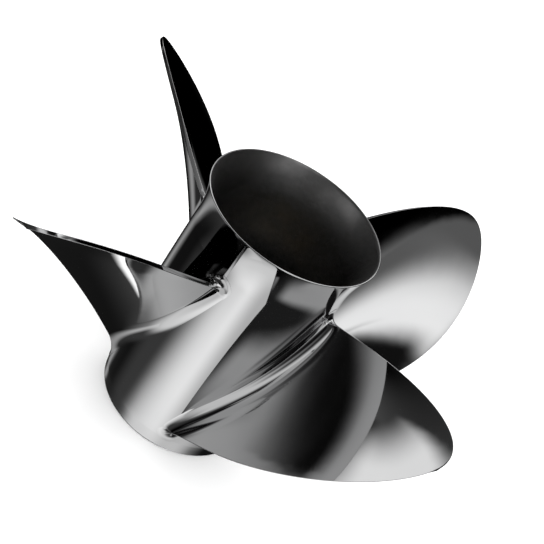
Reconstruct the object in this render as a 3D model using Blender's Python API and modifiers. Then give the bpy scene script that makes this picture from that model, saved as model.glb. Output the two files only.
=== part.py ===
"""Four-blade stainless steel boat propeller with its exhaust passage through the hub.

Metres. +Z runs along the shaft axis from the nose (forward end) to the flared rim (aft end).
The nose stands on z = 0 and the shaft axis is x = y = 0. The propeller turns right-handed.
"""
import math

import bmesh
import bpy

# Whole propeller
DIAMETER = 0.3746
HUB_LENGTH = 0.1803
BLADE_COUNT = 4
FIRST_BLADE_ANGLE = math.radians(-47.5)
CLEARANCE = 0.0003
TURN_STEPS = 64

# Outer hub: a tube with a short tapered nose and a slight belly, drawn in to a waist
NOSE_RADIUS = 0.0536
NOSE_ROUNDING = 0.0017
NOSE_LIP = 0.0020
NOSE_BEVEL = 0.0015
SHOULDER_HEIGHT = 0.0110
BELLY_RADIUS = 0.05625
BELLY_HEIGHT = 0.0940
BARREL_BULGE = 0.20
WAIST_HEIGHT = 0.1480
WALL = 0.0035
BARREL_STEPS = 10

# Diffuser ring: the flared end of the tube. The flare itself starts at the waist.
RING_HEIGHT = 0.1633
RIM_RADIUS = 0.0617
LIP_THICKNESS = 0.0018
FLARE_STEPS = 6

# Inner hub, ribs and the drive kit inside it
INNER_HUB_RADIUS = 0.033
INNER_HUB_FRONT = 0.010
INNER_HUB_BACK = 0.108
SOCKET_WIDTH = 0.044
SOCKET_CORNER = 0.008
RIB_THICKNESS = 0.0048
RIB_FRONT = (0.0140, 0.0200)
RIB_BACK = (0.0980, 0.1040)
SLEEVE_FRONT = 0.0125
SLEEVE_BACK = 0.1050
SLEEVE_BORE_RADIUS = 0.0180
ADAPTER_FRONT = 0.0300
ADAPTER_BACK = 0.1120
FLANGE_THICKNESS = 0.0055
FLANGE_RADIUS = 0.0215
SPLINE_TEETH = 15
SPLINE_ROOT_RADIUS = 0.0128
SPLINE_TIP_RADIUS = 0.0114

# Blade surface. Each line is a polynomial in the span, 0 at the hub and 1 at the tip.
# The aft face of a section is height = rake + pitch * angle + camber * angle^2 + curl * angle^3.
ROOT_RADIUS = 0.0570
SKEW_DEGREES = (0.0, -4.8, 4.3, 9.2)
HALF_WIDTH_DEGREES = (30.3, -25.2, 25.0, -15.5)
TIP_ROUNDNESS = 2.8
RAKE = (0.0750, 0.1050, -0.0306, -0.0018)
PITCH_PER_RADIAN = (0.1102, 0.0251, -0.0150)
CAMBER = (0.0117, 0.0235)
CURL = (0.0187, -0.0136)

# Blade thickness at the hub and at the tip
MIDDLE_THICKNESS = (0.0049, 0.0011)
THICKEST_PLACE = 1.25
TRAILING_THICKNESS = (0.0036, 0.0023)
EDGE_ROUNDING = 0.00045

# Radius of the root fillet at the blade's edges, and its reach over the hub and up the blade
# halfway along the blade's two faces
LEADING_FILLET = 0.0070
TRAILING_FILLET = 0.0080
AFT_FILLET = (0.0120, 0.0168)
FORWARD_FILLET = (0.0060, 0.0066)

TIP_SPAN = 0.9995
FILLET_STEPS = 6
SPAN_STEPS = 12
CHORD_STEPS = 10
EDGE_STEPS = 2

STEEL = ((0.62, 0.63, 0.64, 1.0), 0.08, 1.0)
POLYMER = ((0.02, 0.02, 0.022, 1.0), 0.45, 0.0)
BRASS = ((0.72, 0.52, 0.22, 1.0), 0.28, 1.0)


def polynomial(coefficients, x):
    return sum(value * x**power for power, value in enumerate(coefficients))


def between(ends, amount):
    return ends[0] + (ends[1] - ends[0]) * amount


def barrel_radius(height):
    """Radius of the hub tube without its tapered nose and its flare."""
    return BELLY_RADIUS - BARREL_BULGE * (height - BELLY_HEIGHT)**2


def hub_radius(height):
    """Outer radius of the hub tube at a height above the nose."""
    if height <= SHOULDER_HEIGHT:
        return between((NOSE_RADIUS, barrel_radius(SHOULDER_HEIGHT)), height / SHOULDER_HEIGHT)
    if height <= WAIST_HEIGHT:
        return barrel_radius(height)
    flare = (height - WAIST_HEIGHT) / (HUB_LENGTH - WAIST_HEIGHT)
    return barrel_radius(height) + (RIM_RADIUS - barrel_radius(HUB_LENGTH)) * flare**2


def bore_radius(height):
    """Inner radius of the hub tube: straight from the nose to the waist."""
    if height >= WAIST_HEIGHT:
        return hub_radius(height) - WALL
    ends = (hub_radius(0.0) - WALL, hub_radius(WAIST_HEIGHT) - WALL)
    return between(ends, height / WAIST_HEIGHT)


def new_material(name, look):
    colour, roughness, metallic = look
    material = bpy.data.materials.new(name)
    material.use_nodes = True
    shader = material.node_tree.nodes["Principled BSDF"]
    shader.inputs["Base Color"].default_value = colour
    shader.inputs["Roughness"].default_value = roughness
    shader.inputs["Metallic"].default_value = metallic
    return material


def add_object(name, mesh, look, collection):
    piece = bpy.data.objects.new(name, mesh)
    collection.objects.link(piece)
    if not mesh.materials:
        mesh.materials.append(new_material(name, look))
    return piece


def shade_round(mesh):
    mesh.shade_smooth()
    mesh.set_sharp_from_angle(angle=math.radians(35.0))


def turned(name, profile, look, collection, closed=True):
    """Body of revolution from (radius, height) points that run down its outer side."""
    count = len(profile)
    edges = [(i, i + 1) for i in range(count - 1)]
    if closed:
        edges.append((count - 1, 0))
    mesh = bpy.data.meshes.new(name)
    mesh.from_pydata([(radius, 0.0, height) for radius, height in profile], edges, [])
    piece = add_object(name, mesh, look, collection)
    screw = piece.modifiers.new("turn", "SCREW")
    screw.axis = "Z"
    screw.angle = 2.0 * math.pi
    screw.steps = TURN_STEPS
    screw.render_steps = TURN_STEPS
    screw.use_merge_vertices = True
    screw.merge_threshold = 0.00002
    screw.use_smooth_shade = True
    return piece


def cut(piece, cutter):
    boolean = piece.modifiers.new("cut", "BOOLEAN")
    boolean.operation = "DIFFERENCE"
    boolean.solver = "EXACT"
    boolean.object = cutter


def hide_cutter(cutter):
    cutter.hide_render = True
    cutter.display_type = "WIRE"


def arc(centre, radius, start_degrees, end_degrees, steps):
    """Points on a circular arc in the (radius, height) plane."""
    points = []
    for i in range(steps + 1):
        angle = math.radians(between((start_degrees, end_degrees), i / steps))
        points.append((centre[0] + radius * math.cos(angle), centre[1] + radius * math.sin(angle)))
    return points


def make_outer_hub(collection):
    top = RING_HEIGHT - CLEARANCE / 2
    flat_edge = hub_radius(NOSE_ROUNDING) - NOSE_ROUNDING
    profile = []
    for i in range(BARREL_STEPS + 1):
        height = between((top, SHOULDER_HEIGHT), i / BARREL_STEPS)
        profile.append((hub_radius(height), height))
    profile += arc((flat_edge, NOSE_ROUNDING), NOSE_ROUNDING, 0.0, -90.0, 4)
    profile.append((flat_edge - NOSE_LIP, 0.0))
    for height in (NOSE_BEVEL, WAIST_HEIGHT, (WAIST_HEIGHT + top) / 2, top):
        profile.append((bore_radius(height), height))
    return turned("outer_hub", profile, STEEL, collection)


def make_diffuser_ring(collection):
    bottom = RING_HEIGHT + CLEARANCE / 2
    lip_centre = (RIM_RADIUS - LIP_THICKNESS / 2, HUB_LENGTH - LIP_THICKNESS / 2)
    outer = []
    inner = []
    for i in range(FLARE_STEPS + 1):
        amount = i / FLARE_STEPS
        height = between((bottom, lip_centre[1]), amount)
        outer.append((hub_radius(height), height))
        inner.append((hub_radius(height) - between((WALL, LIP_THICKNESS), amount), height))
    lip = arc(lip_centre, LIP_THICKNESS / 2, 135.0, 45.0, 2)
    profile = [*reversed(outer), *inner, *lip]
    return turned("diffuser_ring", profile, STEEL, collection)


def rounded_square(name, width, corner, bottom, top, collection):
    """Upright square bar with rounded corners."""
    shape = bmesh.new()
    bmesh.ops.create_cube(shape, size=1.0)
    for vert in shape.verts:
        vert.co.x *= width
        vert.co.y *= width
        vert.co.z = top if vert.co.z > 0.0 else bottom
    upright = [edge for edge in shape.edges if abs(edge.verts[0].co.z - edge.verts[1].co.z) > 0.001]
    bmesh.ops.bevel(shape, geom=upright, offset=corner, segments=5, profile=0.5, affect="EDGES")
    mesh = bpy.data.meshes.new(name)
    shape.to_mesh(mesh)
    shape.free()
    return add_object(name, mesh, POLYMER, collection)


def make_inner_hub(collection, cutters):
    bevel = 0.0012
    profile = [
        (0.0, INNER_HUB_BACK),
        (INNER_HUB_RADIUS - bevel, INNER_HUB_BACK),
        (INNER_HUB_RADIUS, INNER_HUB_BACK - bevel),
        (INNER_HUB_RADIUS, INNER_HUB_FRONT + bevel),
        (INNER_HUB_RADIUS - bevel, INNER_HUB_FRONT),
        (0.0, INNER_HUB_FRONT),
    ]
    hub = turned("inner_hub", profile, STEEL, collection, closed=False)
    margin = 0.01
    socket = rounded_square("socket_cutter", SOCKET_WIDTH, SOCKET_CORNER,
                            INNER_HUB_FRONT - margin, INNER_HUB_BACK + margin, cutters)
    hide_cutter(socket)
    cut(hub, socket)
    return hub


def make_rib(index, collection):
    """Plate from the inner hub out to the tube, with slanted front and back edges."""
    inner_end = INNER_HUB_RADIUS + CLEARANCE
    shape = bmesh.new()
    bmesh.ops.create_cube(shape, size=1.0)
    for vert in shape.verts:
        reach = 1 if vert.co.x > 0.0 else 0
        side = RIB_BACK if vert.co.z > 0.0 else RIB_FRONT
        outer_end = bore_radius(side[reach]) - 1.5 * CLEARANCE
        vert.co.x = (inner_end, outer_end)[reach]
        vert.co.y *= RIB_THICKNESS
        vert.co.z = side[reach]
    mesh = bpy.data.meshes.new(f"rib_{index + 1}")
    shape.to_mesh(mesh)
    shape.free()
    rib = add_object(f"rib_{index + 1}", mesh, STEEL, collection)
    rib.rotation_euler.z = math.radians(45.0) + index * 2.0 * math.pi / BLADE_COUNT
    return rib


def make_drive_sleeve(collection, cutters):
    width = SOCKET_WIDTH - 2.0 * CLEARANCE
    sleeve = rounded_square("drive_sleeve", width, SOCKET_CORNER - CLEARANCE,
                            SLEEVE_FRONT, SLEEVE_BACK, collection)
    margin = 0.01
    profile = [
        (0.0, SLEEVE_BACK + margin),
        (SLEEVE_BORE_RADIUS, SLEEVE_BACK + margin),
        (SLEEVE_BORE_RADIUS, SLEEVE_FRONT - margin),
        (0.0, SLEEVE_FRONT - margin),
    ]
    bore = turned("sleeve_bore_cutter", profile, POLYMER, cutters, closed=False)
    hide_cutter(bore)
    cut(sleeve, bore)
    return sleeve


def make_spline_cutter(cutters):
    """Bar with one ridge for each groove of the splined bore."""
    margin = 0.01
    outline = []
    pitch = 2.0 * math.pi / SPLINE_TEETH
    for tooth in range(SPLINE_TEETH):
        for radius, place in ((SPLINE_TIP_RADIUS, -0.30), (SPLINE_ROOT_RADIUS, -0.20),
                              (SPLINE_ROOT_RADIUS, 0.20), (SPLINE_TIP_RADIUS, 0.30)):
            angle = (tooth + place) * pitch
            outline.append((radius * math.cos(angle), radius * math.sin(angle)))
    shape = bmesh.new()
    ring = [shape.verts.new((x, y, ADAPTER_FRONT - margin)) for x, y in outline]
    base = shape.faces.new(ring)
    raised = bmesh.ops.extrude_face_region(shape, geom=[base])
    length = ADAPTER_BACK - ADAPTER_FRONT + 2.0 * margin
    moved = [item for item in raised["geom"] if isinstance(item, bmesh.types.BMVert)]
    bmesh.ops.translate(shape, verts=moved, vec=(0.0, 0.0, length))
    bmesh.ops.recalc_face_normals(shape, faces=shape.faces)
    mesh = bpy.data.meshes.new("spline_cutter")
    shape.to_mesh(mesh)
    shape.free()
    cutter = add_object("spline_cutter", mesh, BRASS, cutters)
    hide_cutter(cutter)
    return cutter


def make_spline_adapter(collection, cutters):
    barrel_radius = SLEEVE_BORE_RADIUS - CLEARANCE
    flange_base = ADAPTER_BACK - FLANGE_THICKNESS
    bevel = 0.0010
    profile = [
        (0.0, ADAPTER_BACK),
        (FLANGE_RADIUS - bevel, ADAPTER_BACK),
        (FLANGE_RADIUS, ADAPTER_BACK - bevel),
        (FLANGE_RADIUS, flange_base),
        (barrel_radius, flange_base),
        (barrel_radius, ADAPTER_FRONT + bevel),
        (barrel_radius - bevel, ADAPTER_FRONT),
        (0.0, ADAPTER_FRONT),
    ]
    adapter = turned("spline_adapter", profile, BRASS, collection, closed=False)
    cut(adapter, make_spline_cutter(cutters))
    return adapter


def section_point(span, chord, shift, depth, turn, reach):
    """Point on the cylindrical section of a blade at a given span.

    chord runs from -1 at the leading edge to 1 at the trailing edge. From that place on the aft
    face the point is shifted along the chord, sunk by depth towards the forward side, and then
    pushed out by reach in the direction turn, measured from the aft normal towards the
    trailing edge.
    """
    half_width = polynomial(HALF_WIDTH_DEGREES, span) * math.sqrt(1.0 - span**TIP_ROUNDNESS)
    angle = math.radians(polynomial(SKEW_DEGREES, span) + chord * half_width)
    pitch = polynomial(PITCH_PER_RADIAN, span)
    camber = polynomial(CAMBER, span)
    curl = polynomial(CURL, span)
    height = polynomial(RAKE, span) + pitch * angle + camber * angle**2 + curl * angle**3
    root_radius = hub_radius(height) + CLEARANCE
    radius = between((root_radius, DIAMETER / 2), span)
    slope = math.atan2(pitch + 2.0 * camber * angle + 3.0 * curl * angle**2, radius)
    heading = slope + math.pi / 2 - turn
    along = radius * angle + shift * math.cos(slope) + depth * math.sin(slope)
    along += reach * math.cos(heading)
    height += shift * math.sin(slope) - depth * math.cos(slope) + reach * math.sin(heading)
    place = along / radius
    return (radius * math.cos(place), radius * math.sin(place), height)


def thickness(span, chord):
    """Thickness of a blade section: a thin leading edge, a full middle and a blunt trailing edge."""
    across = (chord + 1.0) / 2.0
    leading = 2.0 * EDGE_ROUNDING
    trailing = between(TRAILING_THICKNESS, span)
    middle = between(MIDDLE_THICKNESS, 1.0 - (1.0 - span)**1.5)
    place = across**THICKEST_PLACE
    return between((leading, trailing), across) + middle * 4.0 * place * (1.0 - place)


def fillet_spread(height, chord, face_fillet):
    """How far the root fillet, an ellipse, stands out from the blade at a height above the hub."""
    edge_radius = LEADING_FILLET if chord < 0.0 else TRAILING_FILLET
    on_face = math.sqrt(1.0 - chord**2)
    reach = between((edge_radius, face_fillet[0]), on_face)
    top = between((edge_radius, face_fillet[1]), on_face)
    if height >= top:
        return 0.0
    return reach * (1.0 - math.sqrt(1.0 - (1.0 - height / top)**2))


def blade_section(height, share, fullness):
    """Closed loop of points round the section at a height above the hub.

    Its first point is the leading edge. The section is widened by a share of the root fillet
    there, and a fullness under 1 thins it about its middle.
    """
    span = height / (DIAMETER / 2 - ROOT_RADIUS)
    aft = []
    forward = []

    def add_pair(chord, shift, turn):
        half = thickness(span, chord) / 2
        offset = (half - EDGE_ROUNDING) * fullness
        aft_reach = EDGE_ROUNDING + share * fillet_spread(height + CLEARANCE, chord, AFT_FILLET)
        forward_reach = EDGE_ROUNDING + share * fillet_spread(height + CLEARANCE, chord, FORWARD_FILLET)
        aft.append(section_point(span, chord, shift, half - offset, turn, aft_reach))
        forward.append(section_point(span, chord, shift, half + offset, math.pi - turn, forward_reach))

    for i in range(EDGE_STEPS + 1):
        add_pair(-1.0, EDGE_ROUNDING, math.pi / 2 * (i / EDGE_STEPS - 1.0))
    for i in range(1, CHORD_STEPS):
        add_pair(2.0 * i / CHORD_STEPS - 1.0, 0.0, 0.0)
    for i in range(EDGE_STEPS + 1):
        add_pair(1.0, -EDGE_ROUNDING, math.pi / 2 * i / EDGE_STEPS)
    middle = thickness(span, 1.0) / 2
    reach = EDGE_ROUNDING + share * fillet_spread(height + CLEARANCE, 1.0, AFT_FILLET)
    trailing_edge = section_point(span, 1.0, -EDGE_ROUNDING, middle, math.pi / 2, reach)
    return [*aft, trailing_edge, *reversed(forward[1:])]


def blade_stations():
    """Height, share of the fillet and fullness of each section, from under the foot to the tip.

    The sections under the foot make its inner face follow the round hub.
    """
    fillet_top = AFT_FILLET[1]
    stations = [(0.0, 0.0, 0.3), (0.0, 0.0, 1.0), (0.0, 0.5, 1.0)]
    for i in range(FILLET_STEPS):
        angle = math.pi / 2 * i / FILLET_STEPS
        stations.append((fillet_top * (1.0 - math.cos(angle)), 1.0, 1.0))
    tip_height = TIP_SPAN * (DIAMETER / 2 - ROOT_RADIUS)
    for i in range(SPAN_STEPS + 1):
        amount = math.sin(math.pi / 2 * i / SPAN_STEPS)
        stations.append((between((fillet_top, tip_height), amount), 1.0, 1.0))
    return stations


def close_end(shape, ring):
    """Close a section across its thickness, with strips from the aft side to the forward side."""
    count = len(ring)
    half = count // 2
    shape.faces.new((ring[0], ring[1], ring[count - 1]))
    for i in range(1, half - 1):
        shape.faces.new((ring[i], ring[i + 1], ring[count - i - 1], ring[count - i]))
    shape.faces.new((ring[half - 1], ring[half], ring[half + 1]))


def blade_mesh():
    """Loft through the blade's sections, closed at the root and at the tip."""
    shape = bmesh.new()
    rings = []
    for station in blade_stations():
        rings.append([shape.verts.new(point) for point in blade_section(*station)])
    count = len(rings[0])
    for lower, upper in zip(rings, rings[1:]):
        for i in range(count):
            follow = (i + 1) % count
            shape.faces.new((lower[i], lower[follow], upper[follow], upper[i]))
    close_end(shape, rings[0])
    close_end(shape, rings[-1])
    bmesh.ops.recalc_face_normals(shape, faces=shape.faces)
    mesh = bpy.data.meshes.new("blade")
    shape.to_mesh(mesh)
    shape.free()
    shade_round(mesh)
    return mesh


def make_blades(collection):
    mesh = blade_mesh()
    for index in range(BLADE_COUNT):
        blade = add_object(f"blade_{index + 1}", mesh, STEEL, collection)
        blade.rotation_euler.z = FIRST_BLADE_ANGLE + index * 2.0 * math.pi / BLADE_COUNT


def main():
    for item in list(bpy.data.objects):
        bpy.data.objects.remove(item, do_unlink=True)
    parts = bpy.data.collections.new("boat_propeller")
    cutters = bpy.data.collections.new("cutters")
    bpy.context.scene.collection.children.link(parts)
    bpy.context.scene.collection.children.link(cutters)
    make_outer_hub(parts)
    make_diffuser_ring(parts)
    make_inner_hub(parts, cutters)
    for index in range(BLADE_COUNT):
        make_rib(index, parts)
    make_drive_sleeve(parts, cutters)
    make_spline_adapter(parts, cutters)
    make_blades(parts)


main()
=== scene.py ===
"""Looks of the four-blade boat propeller: one mirror-polished casting round a dark exhaust
passage, the hub inside it as cast, a moulded sleeve and a splined brass adapter.

Metres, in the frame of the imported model. +Z is the shaft axis, from the nose to the flared rim.
"""

import math

import bpy
from mathutils import Matrix, Vector


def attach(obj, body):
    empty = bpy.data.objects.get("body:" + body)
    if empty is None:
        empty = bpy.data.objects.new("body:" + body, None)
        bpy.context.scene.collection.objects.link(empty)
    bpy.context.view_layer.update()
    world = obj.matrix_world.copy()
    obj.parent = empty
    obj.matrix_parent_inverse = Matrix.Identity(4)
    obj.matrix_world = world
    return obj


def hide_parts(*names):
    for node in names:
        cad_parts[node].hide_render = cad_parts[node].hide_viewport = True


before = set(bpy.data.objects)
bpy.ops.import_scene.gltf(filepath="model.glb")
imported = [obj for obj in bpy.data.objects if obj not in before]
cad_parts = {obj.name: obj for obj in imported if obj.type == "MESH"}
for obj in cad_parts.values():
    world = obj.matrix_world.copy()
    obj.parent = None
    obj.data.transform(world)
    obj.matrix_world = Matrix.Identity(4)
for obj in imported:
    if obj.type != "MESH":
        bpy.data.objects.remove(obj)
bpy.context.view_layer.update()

# Sizes that the visible surface shares with the solids
HUB_LENGTH = 0.1803
BLADE_COUNT = 4
FIRST_BLADE_ANGLE = math.radians(-47.5)
NOSE_RADIUS = 0.0536
NOSE_ROUNDING = 0.0017
NOSE_LIP = 0.0020
NOSE_BEVEL = 0.0015
SHOULDER_HEIGHT = 0.0110
BELLY_RADIUS = 0.05625
BELLY_HEIGHT = 0.0940
BARREL_BULGE = 0.20
WAIST_HEIGHT = 0.1480
ROOT_RADIUS = 0.0570
WALL = 0.0035
RIM_RADIUS = 0.0617
INNER_HUB_RADIUS = 0.033
INNER_HUB_FRONT = 0.010
INNER_HUB_BACK = 0.108
SOCKET_WIDTH = 0.044
SOCKET_CORNER = 0.008
RIB_THICKNESS = 0.0048
RIB_FRONT = (0.0140, 0.0200)
RIB_BACK = (0.0980, 0.1040)
SLEEVE_FRONT = 0.0125
SLEEVE_BACK = 0.1050
SLEEVE_BORE_RADIUS = 0.0180
SLEEVE_GAP = 0.0003
ADAPTER_FRONT = 0.0300
ADAPTER_BACK = 0.1120
FLANGE_THICKNESS = 0.0055
FLANGE_RADIUS = 0.0215
SPLINE_TEETH = 15
SPLINE_ROOT_RADIUS = 0.0128
SPLINE_TIP_RADIUS = 0.0114

# Blade sections, as polynomials in the span from the hub to the tip, as on the solids
SKEW_DEGREES = (0.0, -4.8, 4.3, 9.2)
HALF_WIDTH_DEGREES = (30.3, -25.2, 25.0, -15.5)
TIP_ROUNDNESS = 2.8
RAKE = (0.0750, 0.1050, -0.0306, -0.0018)
PITCH_PER_RADIAN = (0.1102, 0.0251, -0.0150)
CAMBER = (0.0117, 0.0235)
CURL = (0.0187, -0.0136)
MIDDLE_THICKNESS = (0.0049, 0.0011)
THICKNESS_FALL = 1.5
THICKEST_PLACE = 1.25
TRAILING_THICKNESS = (0.0036, 0.0023)
LEADING_FILLET = 0.0070
TRAILING_FILLET = 0.0080
AFT_FILLET = (0.0120, 0.0168)
FORWARD_FILLET = (0.0060, 0.0066)
TIP_SPAN = 0.9995

# Sizes of the visible surface alone: the tips stay just inside the solids' circle, edges are
# rounded or chamfered, a blade's foot runs out in a thin skirt just under the hub's surface, a
# rib's ends sink into the hub and the tube, and the spline's cutter takes some stock off the bore
DIAMETER = 0.3741
LIP_THICKNESS = 0.0013
LIP_ARC = (30.0, 150.0)
SHOULDER_SOFTNESS = 0.0003
EDGE_ROUNDING = 0.00030
ROOT_EDGE_ROUNDING = 0.0016
SKIRT_REACH = 0.0010
SKIRT_DEPTH = 0.00003
CORE_ROUNDING = 0.0010
RIB_ROUNDING = 0.0011
RIB_FILLET = 0.0040
RIB_SINKING = 0.0001
SLEEVE_ROUNDING = 0.0008
ADAPTER_CHAMFER = 0.0010
ADAPTER_ROUNDING = 0.00025
SPLINE_STOCK = 0.0004

# One groove of the spline between two half teeth, as radii and their places in shares of a pitch
SPLINE_PROFILE = (
    (SPLINE_TIP_RADIUS, (-0.42, -0.36, -0.30)),
    (SPLINE_ROOT_RADIUS, (-0.20, -0.10, 0.0, 0.10, 0.20)),
    (SPLINE_TIP_RADIUS, (0.30, 0.36, 0.42)),
)

# Rings of the barrel that stand apart from its evenly spaced ones
NOSE_RING = 0.0060
FLARE_START = WAIST_HEIGHT - 0.0020
BORE_RINGS = (0.120, 0.080, 0.040)

# Fineness of the visible surface
TURN_STEPS = 256
INNER_TURN_STEPS = 128
BORE_TURN_STEPS = 96
NOSE_STEPS = 8
BARREL_STEPS = 24
FLARE_STEPS = 24
LIP_STEPS = 8
FILLET_STEPS = 26
SPAN_STEPS = 72
CHORD_STEPS = 72
EDGE_STEPS = 5
CORNER_STEPS = 12
RIB_FILLET_STEPS = 6
ROUNDING_STEPS = 3
ADAPTER_ROUNDING_STEPS = 2
BOARD_STEPS = 96

# How pieces are worked: an outline starts as a circle of any size, a cutter stands out of what it
# cuts, points closer together than the merging distance become one, edges that turn by more than
# the sharp angle are rounded, and shading stays smooth across those below the smooth angle
START_RADIUS = 0.05
CUTTER_OVERHANG = 0.0035
MERGING_DISTANCE = 0.000001
SHARP_ANGLE = math.radians(40.0)
SMOOTH_ANGLE = math.radians(35.0)
FULL_TURN = 2.0 * math.pi

# The photograph's camera
CAMERA_TARGET = Vector((0.0072, 0.0, 0.1340))
CAMERA_DISTANCE = 0.8448
CAMERA_ELEVATION = math.radians(34.02)
CAMERA_ROLL = math.radians(34.79)
CAMERA_LENS = 86.13
SENSOR_WIDTH = 36.0

# The board under the propeller, just clear of its nose
BOARD_RADIUS = 6.0
BOARD_TOP = -0.0003

# Where nearly all the values of a noise texture lie
NOISE_RANGE = (0.3, 0.7)

# Light
WALL_COLOUR = (1.0, 1.0, 1.0, 1.0)
FILL_COLOUR = (1.9, 1.9, 1.9, 1.0)

# Studio cards, seen from the propeller, each in front of those above it: where the card's middle
# is (azimuth, elevation) and its roll, how far it reaches left, right, down and up, how soft each
# of these edges is, all in degrees, and its brightness.
ROOM_BRIGHTNESS = 0.069
STUDIO_CARDS = {
    "front_floor_sheet": (278.9, -45.4, -6.9, 27.8, 20.3, 24.2, 13.9, 37.1, 18.7, 24.0, 3.3, 1.57),
    "left_low_flag": (161.7, -35.8, -107.3, 57.5, 17.1, 34.4, 15.6, 14.6, 31.3, 9.1, 24.5, 0.01),
    "under_sweep": (229.9, -111.1, 19.9, 77.4, 104.1, 51.0, 23.5, 29.7, 10.5, 51.6, 21.6, 0.81),
    "left_grey_sheet": (139.3, -67.6, -60.9, 32.4, 35.5, 1.1, 6.7, 3.1, 2.0, 36.9, 12.5, 1.28),
    "back_low_flag": (89.9, -20.5, 0.1, 79.9, 32.2, 77.5, 23.8, 47.6, 29.6, 45.1, 74.7, 0.01),
    "left_flag": (164.7, 1.6, -0.7, 56.6, 32.0, 34.2, 33.2, 20.5, 44.1, 2.2, 36.8, 0.00),
    "front_wall": (247.7, -22.3, -32.8, 50.9, 22.5, 1.1, 32.1, 11.5, 13.4, 26.8, 27.2, 0.96),
    "left_top_flag": (226.1, 31.8, -25.4, 27.0, 27.6, 10.5, 33.2, 2.5, 17.6, 10.3, 11.4, 0.04),
    "right_top_flag": (262.2, 24.5, 11.1, 1.6, 24.9, 22.1, 2.7, 2.6, 9.2, 17.5, 6.5, 0.01),
    "softbox": (343.3, 49.1, -25.9, 37.6, 1.4, 40.2, 14.9, 6.4, 8.3, 42.6, 4.0, 1.58),
    "softbox_left_flag": (265.2, 44.2, 15.4, 6.0, 15.3, 7.9, 17.0, 20.9, 11.7, 3.8, 11.6, 0.01),
    "right_dark_drape": (333.0, 51.5, 50.2, 33.0, 57.5, 69.9, 1.0, 35.3, 25.1, 71.2, 30.6, 0.00),
    "right_grey_edge": (377.1, 63.7, 4.1, 63.7, 22.0, 10.1, 1.0, 9.8, 10.0, 2.3, 13.5, 0.17),
    "back_softbox": (4.4, 66.4, 157.8, 72.2, 1.0, 79.2, 6.2, 35.7, 14.7, 12.5, 6.0, 1.36),
    "top_left_grey": (191.7, 70.0, 21.9, 28.4, 28.9, 2.5, 31.0, 10.4, 9.2, 2.6, 9.0, 0.18),
    "back_flag": (73.2, -11.4, -33.6, 26.2, 23.1, 1.3, 29.1, 1.9, 12.1, 1.8, 38.3, 0.00),
    "front_wall_strip": (243.1, 6.7, 6.2, 29.2, 12.1, 9.5, 1.7, 10.3, 43.5, 10.6, 11.7, 0.95),
    "back_floor_streak": (49.6, -42.0, -111.0, 13.0, 12.6, 1.0, 4.1, 11.8, 88.8, 3.3, 54.6, 1.13),
    "right_slit": (283.0, -21.2, -9.3, 1.0, 1.0, 6.6, 60.2, 3.4, 6.4, 9.0, 23.8, 0.27),
    "left_gap_strip": (191.9, 9.9, 52.8, 3.8, 14.8, 1.0, 2.5, 3.3, 37.2, 2.5, 3.7, 0.50),
    "right_floor_ring": (289.8, -67.2, -9.8, 31.2, 24.7, 8.6, 10.6, 29.8, 16.3, 19.6, 34.0, 1.13),
    "top_grey_arc": (126.7, 61.5, 112.7, 22.0, 50.3, 1.0, 1.4, 3.4, 79.5, 42.0, 7.6, 0.50),
    "left_lower_sheet": (168.8, 1.7, -61.0, 7.0, 3.0, 1.0, 1.1, 86.0, 26.6, 4.0, 27.2, 0.85),
    "back_bright_card": (66.8, -58.3, 143.1, 8.0, 6.0, 14.0, 13.0, 1.5, 1.5, 1.5, 1.5, 1.70),
}


def polynomial(coefficients, x):
    """Value at x of a polynomial, its constant first."""
    return sum(value * x**power for power, value in enumerate(coefficients))


def between(ends, amount):
    """The value a given share of the way from the first end to the second."""
    return ends[0] + (ends[1] - ends[0]) * amount


def barrel_radius(height):
    """Radius of the hub tube without its tapered nose and its flare."""
    return BELLY_RADIUS - BARREL_BULGE * (height - BELLY_HEIGHT)**2


def hub_radius(height):
    """Outer radius of the hub tube at a height above the nose."""
    if height <= SHOULDER_HEIGHT:
        return between((NOSE_RADIUS, barrel_radius(SHOULDER_HEIGHT)), height / SHOULDER_HEIGHT)
    if height <= WAIST_HEIGHT:
        return barrel_radius(height)
    flare = (height - WAIST_HEIGHT) / (HUB_LENGTH - WAIST_HEIGHT)
    return barrel_radius(height) + (RIM_RADIUS - barrel_radius(HUB_LENGTH)) * flare**2


def bore_radius(height):
    """Inner radius of the hub tube: straight from the nose to the waist."""
    if height >= WAIST_HEIGHT:
        return hub_radius(height) - WALL
    ends = (hub_radius(0.0) - WALL, hub_radius(WAIST_HEIGHT) - WALL)
    return between(ends, height / WAIST_HEIGHT)


def arc(centre, radius, start_degrees, end_degrees, steps):
    """Points on a circular arc in a plane."""
    points = []
    for i in range(steps + 1):
        angle = math.radians(between((start_degrees, end_degrees), i / steps))
        points.append((centre[0] + radius * math.cos(angle), centre[1] + radius * math.sin(angle)))
    return points


def named_piece(name):
    """The object just added, under its own name."""
    piece = bpy.context.object
    piece.name = name
    piece.data.name = name
    return piece


def pick(piece):
    """Selects one piece and nothing else."""
    bpy.ops.object.select_all(action="DESELECT")
    piece.select_set(True)
    bpy.context.view_layer.objects.active = piece


def start_editing():
    """Opens the active piece's mesh, with all of it selected."""
    bpy.ops.object.mode_set(mode="EDIT")
    bpy.ops.mesh.select_all(action="SELECT")


def merge_and_face_out():
    """Closes the seams, turns the faces outwards and ends the editing."""
    bpy.ops.mesh.select_all(action="SELECT")
    bpy.ops.mesh.remove_doubles(threshold=MERGING_DISTANCE)
    bpy.ops.mesh.normals_make_consistent(inside=False)
    bpy.ops.object.mode_set(mode="OBJECT")


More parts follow.
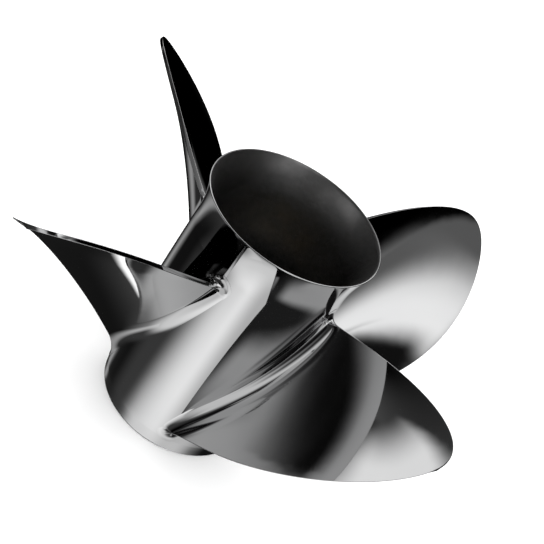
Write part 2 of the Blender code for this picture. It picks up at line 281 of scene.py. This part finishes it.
def turned_piece(name, outline, steps):
    """A closed outline of (radius, height) points spun round the shaft axis."""
    bpy.ops.object.select_all(action="DESELECT")
    bpy.ops.mesh.primitive_circle_add(vertices=len(outline), radius=START_RADIUS)
    piece = named_piece(name)
    for vert, (radius, height) in zip(piece.data.vertices, outline):
        vert.co = (radius, 0.0, height)
    start_editing()
    bpy.ops.mesh.spin(
        steps=steps, angle=FULL_TURN, center=(0.0, 0.0, 0.0), axis=(0.0, 0.0, 1.0)
    )
    merge_and_face_out()
    return piece


def upright_bar(name, outline, bottom, top):
    """A closed outline of (x, y) points, filled and extruded up."""
    bpy.ops.object.select_all(action="DESELECT")
    bpy.ops.mesh.primitive_circle_add(
        vertices=len(outline), radius=START_RADIUS, fill_type="NGON"
    )
    bar = named_piece(name)
    for vert, (x, y) in zip(bar.data.vertices, outline):
        vert.co = (x, y, bottom)
    start_editing()
    bpy.ops.mesh.extrude_region_move(TRANSFORM_OT_translate={"value": (0.0, 0.0, top - bottom)})
    merge_and_face_out()
    return bar


def rounded_square(width, corner):
    """Outline of a square with rounded corners."""
    points = []
    middle = width / 2 - corner
    for quarter, (x, y) in enumerate(((1, 1), (-1, 1), (-1, -1), (1, -1))):
        start = quarter * 90.0
        points += arc((x * middle, y * middle), corner, start, start + 90.0, CORNER_STEPS)
    return points


def cut_out(piece, cutter):
    """Cuts the cutter's shape out of the piece and takes the cutter away."""
    boolean = piece.modifiers.new("cut", "BOOLEAN")
    boolean.operation = "DIFFERENCE"
    boolean.solver = "EXACT"
    boolean.object = cutter
    pick(piece)
    bpy.ops.object.modifier_apply(modifier=boolean.name)
    bpy.data.objects.remove(cutter, do_unlink=True)


def shade_round(piece):
    """Shades the piece as round wherever it has no crease."""
    pick(piece)
    bpy.ops.object.shade_smooth_by_angle(angle=SMOOTH_ANGLE)


def soften_edges(piece, width, steps):
    """Rounds every sharp edge, and lets the flat faces between them still look flat."""
    bevel = piece.modifiers.new("soft_edges", "BEVEL")
    bevel.width = width
    bevel.segments = steps
    bevel.limit_method = "ANGLE"
    bevel.angle_limit = SHARP_ANGLE
    pick(piece)
    bpy.ops.object.modifier_apply(modifier=bevel.name)
    shade_round(piece)
    flat = piece.modifiers.new("flat_faces", "WEIGHTED_NORMAL")
    flat.keep_sharp = True
    bpy.ops.object.modifier_apply(modifier=flat.name)


def barrel_outline():
    """The wall of the tube, from the nose's inner edge up the outside and down the inside."""
    flat_edge = hub_radius(NOSE_ROUNDING) - NOSE_ROUNDING
    outline = [(flat_edge - NOSE_LIP, 0.0)]
    outline += arc((flat_edge, NOSE_ROUNDING), NOSE_ROUNDING, -90.0, 0.0, NOSE_STEPS)
    belly = (SHOULDER_HEIGHT + SHOULDER_SOFTNESS, FLARE_START)
    outside = [NOSE_RING, SHOULDER_HEIGHT - SHOULDER_SOFTNESS]
    outside += [between(belly, i / BARREL_STEPS) for i in range(BARREL_STEPS)]
    outline += [(hub_radius(height), height) for height in outside]
    lip_radius = LIP_THICKNESS / 2
    lip_centre = (RIM_RADIUS - lip_radius, HUB_LENGTH - lip_radius)
    outer = []
    inner = []
    for i in range(FLARE_STEPS + 1):
        amount = i / FLARE_STEPS
        height = between((FLARE_START, lip_centre[1]), amount)
        thinning = between((0.0, WALL - LIP_THICKNESS), amount)
        outer.append((hub_radius(height), height))
        inner.append((bore_radius(height) + thinning, height))
    outline += outer
    outline += arc(lip_centre, lip_radius, *LIP_ARC, LIP_STEPS)
    outline += reversed(inner)
    outline += [(bore_radius(height), height) for height in (*BORE_RINGS, NOSE_BEVEL)]
    return outline


def section_point(span, chord, shift, depth, turn, reach, lift):
    """Point of a blade section: chord -1 is its leading edge and 1 its trailing edge.

    From there the point moves by shift along the section and by depth through it, and then by
    reach in the direction of turn. lift raises the whole section off its cylinder or sinks it.
    """
    half_width = polynomial(HALF_WIDTH_DEGREES, span) * math.sqrt(1.0 - span**TIP_ROUNDNESS)
    angle = math.radians(polynomial(SKEW_DEGREES, span) + chord * half_width)
    pitch = polynomial(PITCH_PER_RADIAN, span)
    camber = polynomial(CAMBER, span)
    curl = polynomial(CURL, span)
    height = polynomial(RAKE, span) + pitch * angle + camber * angle**2 + curl * angle**3
    radius = between((hub_radius(height), DIAMETER / 2), span) + lift
    slope = math.atan2(pitch + 2.0 * camber * angle + 3.0 * curl * angle**2, radius)
    heading = slope + math.pi / 2 - turn
    along = radius * angle + shift * math.cos(slope) + depth * math.sin(slope)
    along += reach * math.cos(heading)
    height += shift * math.sin(slope) - depth * math.cos(slope) + reach * math.sin(heading)
    place = along / radius
    return Vector((radius * math.cos(place), radius * math.sin(place), height))


def thickness(span, chord):
    """Thickness of the blade, thin at the leading edge and blunt at the trailing edge."""
    across = (chord + 1.0) / 2.0
    leading = 2.0 * EDGE_ROUNDING
    trailing = between(TRAILING_THICKNESS, span)
    middle = between(MIDDLE_THICKNESS, 1.0 - (1.0 - span)**THICKNESS_FALL)
    place = across**THICKEST_PLACE
    return between((leading, trailing), across) + middle * 4.0 * place * (1.0 - place)


def fillet_spread(height, chord, face_fillet):
    """How far the root fillet, an ellipse, stands out from the blade at a height above the hub."""
    edge_radius = LEADING_FILLET if chord < 0.0 else TRAILING_FILLET
    on_face = math.sqrt(1.0 - chord**2)
    reach = between((edge_radius, face_fillet[0]), on_face)
    top = between((edge_radius, face_fillet[1]), on_face)
    if height >= top:
        return 0.0
    return reach * (1.0 - math.sqrt(1.0 - (1.0 - height / top)**2))


def edge_rounding(height, chord):
    """Radius of the blade's edges, larger where the trailing edge runs into its root fillet."""
    if chord < 0.0:
        return EDGE_ROUNDING
    above_root = min(height / TRAILING_FILLET, 1.0)
    return between((ROOT_EDGE_ROUNDING, EDGE_ROUNDING), above_root)


def section_marks():
    """Chord, turn and side of each point round a section, from one leading edge to itself."""
    aft = []
    for i in range(EDGE_STEPS + 1):
        aft.append((-1.0, math.pi / 2 * (i / EDGE_STEPS - 1.0)))
    for i in range(1, CHORD_STEPS):
        aft.append((-math.cos(math.pi * i / CHORD_STEPS), 0.0))
    for i in range(EDGE_STEPS + 1):
        aft.append((1.0, math.pi / 2 * i / EDGE_STEPS))
    marks = [(chord, turn, 1.0) for chord, turn in aft]
    marks += [(chord, turn, -1.0) for chord, turn in reversed(aft)]
    return marks


def blade_stations():
    """Height, lift, extra spread and fullness of each section from under the foot to the tip."""
    fillet_top = AFT_FILLET[1]
    stations = [(0.0, -2.0 * SKIRT_DEPTH, None, 0.0), (0.0, -SKIRT_DEPTH, SKIRT_REACH, 1.0)]
    for i in range(FILLET_STEPS):
        angle = math.pi / 2 * i / FILLET_STEPS
        stations.append((fillet_top * (1.0 - math.cos(angle)), 0.0, 0.0, 1.0))
    tip_height = TIP_SPAN * (DIAMETER / 2 - ROOT_RADIUS)
    for i in range(SPAN_STEPS + 1):
        amount = math.sin(math.pi / 2 * i / SPAN_STEPS)
        stations.append((between((fillet_top, tip_height), amount), 0.0, 0.0, 1.0))
    stations.append((tip_height, 0.0, None, 0.0))
    return stations


def blade_point(station, mark):
    """One point of the blade's surface: where a station's section passes one of its marks."""
    height, lift, extra, fullness = station
    chord, turn, side = mark
    span = height / (DIAMETER / 2 - ROOT_RADIUS)
    half = thickness(span, chord) / 2
    rounding = edge_rounding(height, chord)
    shift = -chord * rounding
    if extra is None:
        return section_point(span, chord, shift, half, 0.0, 0.0, lift)
    face_fillet = AFT_FILLET if side > 0.0 else FORWARD_FILLET
    reach = rounding + extra + fillet_spread(height, chord, face_fillet)
    depth = half - side * (half - rounding) * fullness
    heading = turn if side > 0.0 else math.pi - turn
    return section_point(span, chord, shift, depth, heading, reach, lift)


def first_blade():
    """A grid wrapped round the blade's sections: one way along the blade, the other round it."""
    marks = section_marks()
    stations = blade_stations()
    rows = len(stations) - 1
    bpy.ops.object.select_all(action="DESELECT")
    bpy.ops.mesh.primitive_grid_add(x_subdivisions=len(marks), y_subdivisions=rows, size=2.0)
    blade = named_piece("blade_skin_1")
    for vert in blade.data.vertices:
        column = round((vert.co.x + 1.0) / 2.0 * len(marks)) % len(marks)
        row = round((vert.co.y + 1.0) / 2.0 * rows)
        vert.co = blade_point(stations[row], marks[column])
    start_editing()
    merge_and_face_out()
    return blade


def turned_copy(piece, name, angle):
    """A copy with its own mesh, turned round the shaft axis in the mesh itself."""
    copy = bpy.data.objects.new(name, piece.data.copy())
    copy.data.name = name
    copy.data.transform(Matrix.Rotation(angle, 4, "Z"))
    bpy.context.scene.collection.objects.link(copy)
    return copy


def one_per_blade(first, name, start):
    """The first piece, turned to its place, and its copies a quarter turn apart."""
    pieces = [first]
    for index in range(1, BLADE_COUNT):
        angle = start + index * FULL_TURN / BLADE_COUNT
        pieces.append(turned_copy(first, f"{name}_{index + 1}", angle))
    first.data.transform(Matrix.Rotation(start, 4, "Z"))
    return pieces


def finish_piece(piece, slot, *nodes):
    """Fixes the piece to the propeller's one body, in place of the solids that it shows."""
    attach(piece, "root")
    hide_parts(*nodes)


def add_node(tree, kind, *feeds, **settings):
    """A node with its settings and what goes into it, in order: values or other nodes' outputs."""
    node = tree.nodes.new(kind)
    for name, value in settings.items():
        setattr(node, name, value)
    for socket, feed in zip(node.inputs, feeds):
        if isinstance(feed, bpy.types.NodeSocket):
            tree.links.new(feed, socket)
        elif feed is not None:
            socket.default_value = feed
    return node


def math_result(tree, operation, *feeds):
    """A number worked out from others."""
    return add_node(tree, "ShaderNodeMath", *feeds, operation=operation).outputs[0]


def new_material(name, metallic):
    """A material with its shader and the place on the object that its pattern follows."""
    material = bpy.data.materials.new(name)
    material.use_nodes = True
    shader = material.node_tree.nodes["Principled BSDF"]
    shader.inputs["Metallic"].default_value = metallic
    place = add_node(material.node_tree, "ShaderNodeTexCoord").outputs["Object"]
    return material, material.node_tree, shader, place


def grain(tree, place, size, detail):
    """Even noise between 0 and 1, with its lumps a given size apart."""
    return add_node(tree, "ShaderNodeTexNoise", place, None, 1.0 / size, detail).outputs[0]


def spread(tree, noise, low, high):
    """Noise, nearly all of which lies in its middle range, carried over to another range."""
    return add_node(tree, "ShaderNodeMapRange", noise, *NOISE_RANGE, low, high).outputs[0]


def blend(tree, amount, first, second):
    """A colour between two others."""
    mix = tree.nodes.new("ShaderNodeMix")
    mix.data_type = "RGBA"
    tree.links.new(amount, mix.inputs["Factor"])
    colour_sockets = [socket for socket in mix.inputs if socket.type == "RGBA"]
    for socket, colour in zip(colour_sockets, (first, second)):
        socket.default_value = (*colour, 1.0)
    return next(socket for socket in mix.outputs if socket.type == "RGBA")


def relief(tree, shader, pattern, height, under=None):
    """Raises the surface by a pattern of a height in metres, on top of a coarser relief if any."""
    bump = add_node(tree, "ShaderNodeBump")
    bump.inputs["Strength"].default_value = 1.0
    bump.inputs["Distance"].default_value = 1.0
    tree.links.new(math_result(tree, "MULTIPLY", pattern, height), bump.inputs["Height"])
    if under is not None:
        tree.links.new(under, bump.inputs["Normal"])
    tree.links.new(bump.outputs["Normal"], shader.inputs["Normal"])
    return bump.outputs["Normal"]


def polished_steel():
    """Stainless steel polished by hand: faintly uneven, and dulled a little by wipe marks."""
    material, tree, shader, place = new_material("polished_steel", metallic=1.0)
    cloud = grain(tree, place, size=0.035, detail=2.0)
    tone = blend(tree, cloud, (0.485, 0.487, 0.492), (0.515, 0.515, 0.515))
    tree.links.new(tone, shader.inputs["Base Color"])
    squeeze = (1.0, 1.0, 4.0)
    wiped = add_node(tree, "ShaderNodeMapping", place, None, None, squeeze).outputs[0]
    marks = grain(tree, wiped, size=0.004, detail=4.0)
    tree.links.new(spread(tree, marks, low=0.020, high=0.050), shader.inputs["Roughness"])
    waves = grain(tree, place, size=0.014, detail=1.0)
    relief(tree, shader, waves, height=0.00002)
    return material


def blasted_casting():
    """Inside the hub: the steel as cast and blasted, stained by exhaust."""
    material, tree, shader, place = new_material("blasted_casting", metallic=1.0)
    stain = grain(tree, place, size=0.018, detail=5.0)
    tone = blend(tree, stain, (0.16, 0.16, 0.165), (0.36, 0.355, 0.35))
    tree.links.new(tone, shader.inputs["Base Color"])
    tree.links.new(spread(tree, stain, low=0.50, high=0.36), shader.inputs["Roughness"])
    lumps = grain(tree, place, size=0.005, detail=2.0)
    coarse = relief(tree, shader, lumps, height=0.00020)
    sand = grain(tree, place, size=0.0006, detail=3.0)
    relief(tree, shader, sand, height=0.00006, under=coarse)
    return material


def moulded_polymer():
    """Glass-filled plastic: almost black, with a fine matt texture and paler flow marks."""
    material, tree, shader, place = new_material("moulded_polymer", metallic=0.0)
    flow = grain(tree, place, size=0.010, detail=3.0)
    tone = blend(tree, flow, (0.014, 0.014, 0.015), (0.034, 0.034, 0.036))
    tree.links.new(tone, shader.inputs["Base Color"])
    tree.links.new(spread(tree, flow, low=0.40, high=0.58), shader.inputs["Roughness"])
    pebble_size = 0.0006
    pebbles = add_node(tree, "ShaderNodeTexVoronoi", place, None, 1.0 / pebble_size)
    relief(tree, shader, pebbles.outputs["Distance"], height=0.00002)
    return material


def tool_marks(tree, place, **direction):
    """The fine, slightly uneven rings that a lathe tool leaves."""
    pitch = 0.0040
    unevenness = 0.4
    detail = 2.0
    wave = add_node(
        tree, "ShaderNodeTexWave", place, 1.0 / pitch, unevenness, detail, **direction
    )
    return wave.outputs["Fac"]


def turned_brass():
    """Brass with tool marks on its faces and round its barrel, and a little tarnish."""
    material, tree, shader, place = new_material("turned_brass", metallic=1.0)
    tarnish = grain(tree, place, size=0.009, detail=4.0)
    tone = blend(tree, tarnish, (0.42, 0.30, 0.14), (0.66, 0.51, 0.27))
    tree.links.new(tone, shader.inputs["Base Color"])
    tree.links.new(spread(tree, tarnish, low=0.36, high=0.22), shader.inputs["Roughness"])
    on_faces = tool_marks(tree, place, wave_type="RINGS", rings_direction="Z")
    on_barrel = tool_marks(tree, place, wave_type="BANDS", bands_direction="Z")
    both = math_result(tree, "ADD", on_faces, on_barrel)
    relief(tree, shader, both, height=0.000006)
    return material


def pale_board():
    """The painted board that the propeller stands on."""
    material, tree, shader, place = new_material("pale_board", metallic=0.0)
    cloud = grain(tree, place, size=0.30, detail=2.0)
    tone = blend(tree, cloud, (0.93, 0.93, 0.93), (0.95, 0.95, 0.95))
    tree.links.new(tone, shader.inputs["Base Color"])
    shader.inputs["Roughness"].default_value = 0.9
    paint = grain(tree, place, size=0.002, detail=2.0)
    relief(tree, shader, paint, height=0.00003)
    return material


def make_barrel(steel, casting):
    """The tube with its flare, polished outside and as cast inside."""
    barrel = turned_piece("hub_barrel", barrel_outline(), TURN_STEPS)
    barrel.data.materials.append(steel)
    barrel.data.materials.append(casting)
    inward_limit = -0.01 * RIM_RADIUS
    for face in barrel.data.polygons:
        outward = face.center.x * face.normal.x + face.center.y * face.normal.y
        face.material_index = 1 if outward < inward_limit else 0
    shade_round(barrel)
    finish_piece(barrel, "polished_steel", "outer_hub", "diffuser_ring")


def make_blades(steel):
    """The four blades, each a skin that wraps its solid and runs out over the hub."""
    first = first_blade()
    shade_round(first)
    first.data.materials.append(steel)
    for index, blade in enumerate(one_per_blade(first, "blade_skin", FIRST_BLADE_ANGLE)):
        finish_piece(blade, "polished_steel", f"blade_{index + 1}")


def make_hub_core(casting):
    """The inner hub: a round core with a square socket for the sleeve."""
    bpy.ops.object.select_all(action="DESELECT")
    length = INNER_HUB_BACK - INNER_HUB_FRONT
    middle = (INNER_HUB_BACK + INNER_HUB_FRONT) / 2
    bpy.ops.mesh.primitive_cylinder_add(
        vertices=INNER_TURN_STEPS, radius=INNER_HUB_RADIUS, depth=length
    )
    core = named_piece("hub_core")
    core.data.transform(Matrix.Translation((0.0, 0.0, middle)))
    square = rounded_square(SOCKET_WIDTH, SOCKET_CORNER)
    bottom = INNER_HUB_FRONT - CUTTER_OVERHANG
    top = INNER_HUB_BACK + CUTTER_OVERHANG
    cut_out(core, upright_bar("socket", square, bottom, top))
    soften_edges(core, CORE_ROUNDING, ROUNDING_STEPS)
    core.data.materials.append(casting)
    finish_piece(core, "cast_steel", "inner_hub")


def rib_outline():
    """Plan of a rib as (share of the way out, offset to the side), with a fillet at each end."""
    length = bore_radius(RIB_BACK[1]) - INNER_HUB_RADIUS
    aside = RIB_THICKNESS / 2 + RIB_FILLET
    side = arc((RIB_FILLET, aside), RIB_FILLET, 180.0, 270.0, RIB_FILLET_STEPS)
    side += arc((length - RIB_FILLET, aside), RIB_FILLET, 270.0, 360.0, RIB_FILLET_STEPS)
    plan = [(x / length, y) for x, y in side]
    return plan + [(share, -y) for share, y in reversed(plan)]


def first_rib():
    """A plate from the inner hub to the tube, with slanted and rounded front and back edges."""
    rib = upright_bar("exhaust_rib_1", rib_outline(), 0.0, 1.0)
    for vert in rib.data.vertices:
        share, aside, top = vert.co
        height = between(RIB_BACK if top > 0.5 else RIB_FRONT, share)
        inner = math.sqrt((INNER_HUB_RADIUS - RIB_SINKING)**2 - aside**2)
        outer = math.sqrt((bore_radius(height) + RIB_SINKING)**2 - aside**2)
        vert.co = (between((inner, outer), share), aside, height)
    soften_edges(rib, RIB_ROUNDING, ROUNDING_STEPS)
    return rib


def make_ribs(casting):
    """The four ribs, half a quarter turn round from the X and Y axes."""
    first = first_rib()
    first.data.materials.append(casting)
    for index, rib in enumerate(one_per_blade(first, "exhaust_rib", math.pi / BLADE_COUNT)):
        finish_piece(rib, "cast_steel", f"rib_{index + 1}")


def make_sleeve(polymer):
    """The square plastic sleeve, with its round bore."""
    square = rounded_square(SOCKET_WIDTH - 2.0 * SLEEVE_GAP, SOCKET_CORNER - SLEEVE_GAP)
    sleeve = upright_bar("moulded_sleeve", square, SLEEVE_FRONT, SLEEVE_BACK)
    ring = arc((0.0, 0.0), SLEEVE_BORE_RADIUS, 0.0, 360.0, BORE_TURN_STEPS)[:-1]
    bottom = SLEEVE_FRONT - CUTTER_OVERHANG
    top = SLEEVE_BACK + CUTTER_OVERHANG
    cut_out(sleeve, upright_bar("sleeve_bore", ring, bottom, top))
    soften_edges(sleeve, SLEEVE_ROUNDING, ROUNDING_STEPS)
    sleeve.data.materials.append(polymer)
    finish_piece(sleeve, "sleeve_polymer", "drive_sleeve")


def spline_outline():
    """Outline of the bar that leaves the splined bore: one ridge for each groove."""
    points = []
    for tooth in range(SPLINE_TEETH):
        for radius, places in SPLINE_PROFILE:
            for place in places:
                angle = (tooth + place) * 2.0 * math.pi / SPLINE_TEETH
                points.append((radius * math.cos(angle), radius * math.sin(angle)))
    return points


def make_adapter(brass):
    """The splined adapter: a flanged barrel with chamfered ends and a splined bore."""
    barrel = SLEEVE_BORE_RADIUS - SLEEVE_GAP
    flange_base = ADAPTER_BACK - FLANGE_THICKNESS
    hole = SPLINE_TIP_RADIUS - SPLINE_STOCK
    outline = [
        (hole, ADAPTER_BACK),
        (FLANGE_RADIUS - ADAPTER_CHAMFER, ADAPTER_BACK),
        (FLANGE_RADIUS, ADAPTER_BACK - ADAPTER_CHAMFER),
        (FLANGE_RADIUS, flange_base),
        (barrel, flange_base),
        (barrel, ADAPTER_FRONT + ADAPTER_CHAMFER),
        (barrel - ADAPTER_CHAMFER, ADAPTER_FRONT),
        (hole, ADAPTER_FRONT),
    ]
    adapter = turned_piece("splined_adapter", outline, INNER_TURN_STEPS)
    bottom = ADAPTER_FRONT - CUTTER_OVERHANG
    top = ADAPTER_BACK + CUTTER_OVERHANG
    cut_out(adapter, upright_bar("spline", spline_outline(), bottom, top))
    soften_edges(adapter, ADAPTER_ROUNDING, ADAPTER_ROUNDING_STEPS)
    adapter.data.materials.append(brass)
    finish_piece(adapter, "adapter_brass", "spline_adapter")


def make_floor():
    """The board, which the steel doesn't mirror: it mirrors the studio's cards."""
    bpy.ops.object.select_all(action="DESELECT")
    bpy.ops.mesh.primitive_circle_add(
        vertices=BOARD_STEPS, radius=BOARD_RADIUS, fill_type="NGON", location=(0.0, 0.0, BOARD_TOP)
    )
    floor = named_piece("floor")
    floor.data.materials.append(pale_board())
    floor.visible_glossy = False


def card_axes(azimuth, elevation, roll):
    """Directions to a card's middle, along it to its right, and up it."""
    across = math.radians(azimuth)
    up = math.radians(elevation)
    turn = math.radians(roll)
    level = math.cos(up)
    middle = Vector((level * math.cos(across), level * math.sin(across), math.sin(up)))
    right = Vector((-math.sin(across), math.cos(across), 0.0))
    top = middle.cross(right)
    rolled_right = right * math.cos(turn) + top * math.sin(turn)
    rolled_top = top * math.cos(turn) - right * math.sin(turn)
    return middle, rolled_right, rolled_top


def soft_edge(tree, angle, edge, softness, sign):
    """1 on the card's side of one of its edges and 0 beyond it, changing softly between."""
    outside = math.radians(sign * (edge + softness / 2))
    inside = math.radians(sign * (edge - softness / 2))
    ramp = add_node(
        tree, "ShaderNodeMapRange", angle, outside, inside, 0.0, 1.0,
        interpolation_type="SMOOTHSTEP"
    )
    return ramp.outputs[0]


def hang_card(tree, direction, behind, card):
    """The brightness seen in a direction once one more card hangs in front of what was there."""
    left, right, down, up = card[3:7]
    soft_left, soft_right, soft_down, soft_up = card[7:11]
    brightness = card[11]
    along = []
    for axis in card_axes(*card[:3]):
        dot = add_node(tree, "ShaderNodeVectorMath", direction, axis, operation="DOT_PRODUCT")
        along.append(dot.outputs["Value"])
    sideways = math_result(tree, "ARCTAN2", along[1], along[0])
    upwards = math_result(tree, "ARCSINE", along[2])
    mask = soft_edge(tree, sideways, left, soft_left, -1.0)
    mask = math_result(tree, "MULTIPLY", mask, soft_edge(tree, sideways, right, soft_right, 1.0))
    mask = math_result(tree, "MULTIPLY", mask, soft_edge(tree, upwards, down, soft_down, -1.0))
    mask = math_result(tree, "MULTIPLY", mask, soft_edge(tree, upwards, up, soft_up, 1.0))
    change = math_result(tree, "SUBTRACT", brightness, behind)
    return math_result(tree, "MULTIPLY_ADD", mask, change, behind)


def mix_shaders(tree, amount, first, second):
    """A shader between two others."""
    mix = add_node(tree, "ShaderNodeMixShader", amount, first, second)
    return mix.outputs[0]


def make_world():
    """A white room for the eye and the floor, and the studio's cards for the polished metal."""
    world = bpy.data.worlds.new("studio")
    bpy.context.scene.world = world
    world.use_nodes = True
    world.cycles.sampling_method = "NONE"
    tree = world.node_tree
    tree.nodes.clear()
    direction = add_node(tree, "ShaderNodeTexCoord").outputs["Generated"]
    seen = ROOM_BRIGHTNESS
    for card in STUDIO_CARDS.values():
        seen = hang_card(tree, direction, seen, card)
    cards = add_node(tree, "ShaderNodeBackground", seen, 1.0).outputs[0]
    wall = add_node(tree, "ShaderNodeBackground", WALL_COLOUR, 1.0).outputs[0]
    fill = add_node(tree, "ShaderNodeBackground", FILL_COLOUR, 1.0).outputs[0]
    rays = add_node(tree, "ShaderNodeLightPath").outputs
    light = mix_shaders(tree, rays["Is Glossy Ray"], fill, cards)
    shown = mix_shaders(tree, rays["Is Camera Ray"], light, wall)
    add_node(tree, "ShaderNodeOutputWorld", shown)


def make_camera():
    """The camera where the photograph's stood, rolled as the photograph is."""
    data = bpy.data.cameras.new("camera")
    data.lens = CAMERA_LENS
    data.sensor_width = SENSOR_WIDTH
    camera = bpy.data.objects.new("camera", data)
    bpy.context.scene.collection.objects.link(camera)
    forward = Vector((0.0, math.cos(CAMERA_ELEVATION), -math.sin(CAMERA_ELEVATION)))
    right = Vector((1.0, 0.0, 0.0))
    up = right.cross(forward)
    rolled_right = right * math.cos(CAMERA_ROLL) + up * math.sin(CAMERA_ROLL)
    rolled_up = up * math.cos(CAMERA_ROLL) - right * math.sin(CAMERA_ROLL)
    axes = Matrix((rolled_right, rolled_up, -forward)).transposed()
    place = CAMERA_TARGET - CAMERA_DISTANCE * forward
    camera.matrix_world = Matrix.Translation(place) @ axes.to_4x4()
    bpy.context.scene.camera = camera


def main():
    """Makes every piece, the floor, the light and the camera."""
    steel = polished_steel()
    casting = blasted_casting()
    make_barrel(steel, casting)
    make_blades(steel)
    make_hub_core(casting)
    make_ribs(casting)
    make_sleeve(moulded_polymer())
    make_adapter(turned_brass())
    make_floor()
    make_world()
    make_camera()
    bpy.context.scene.view_settings.view_transform = "Standard"


main()
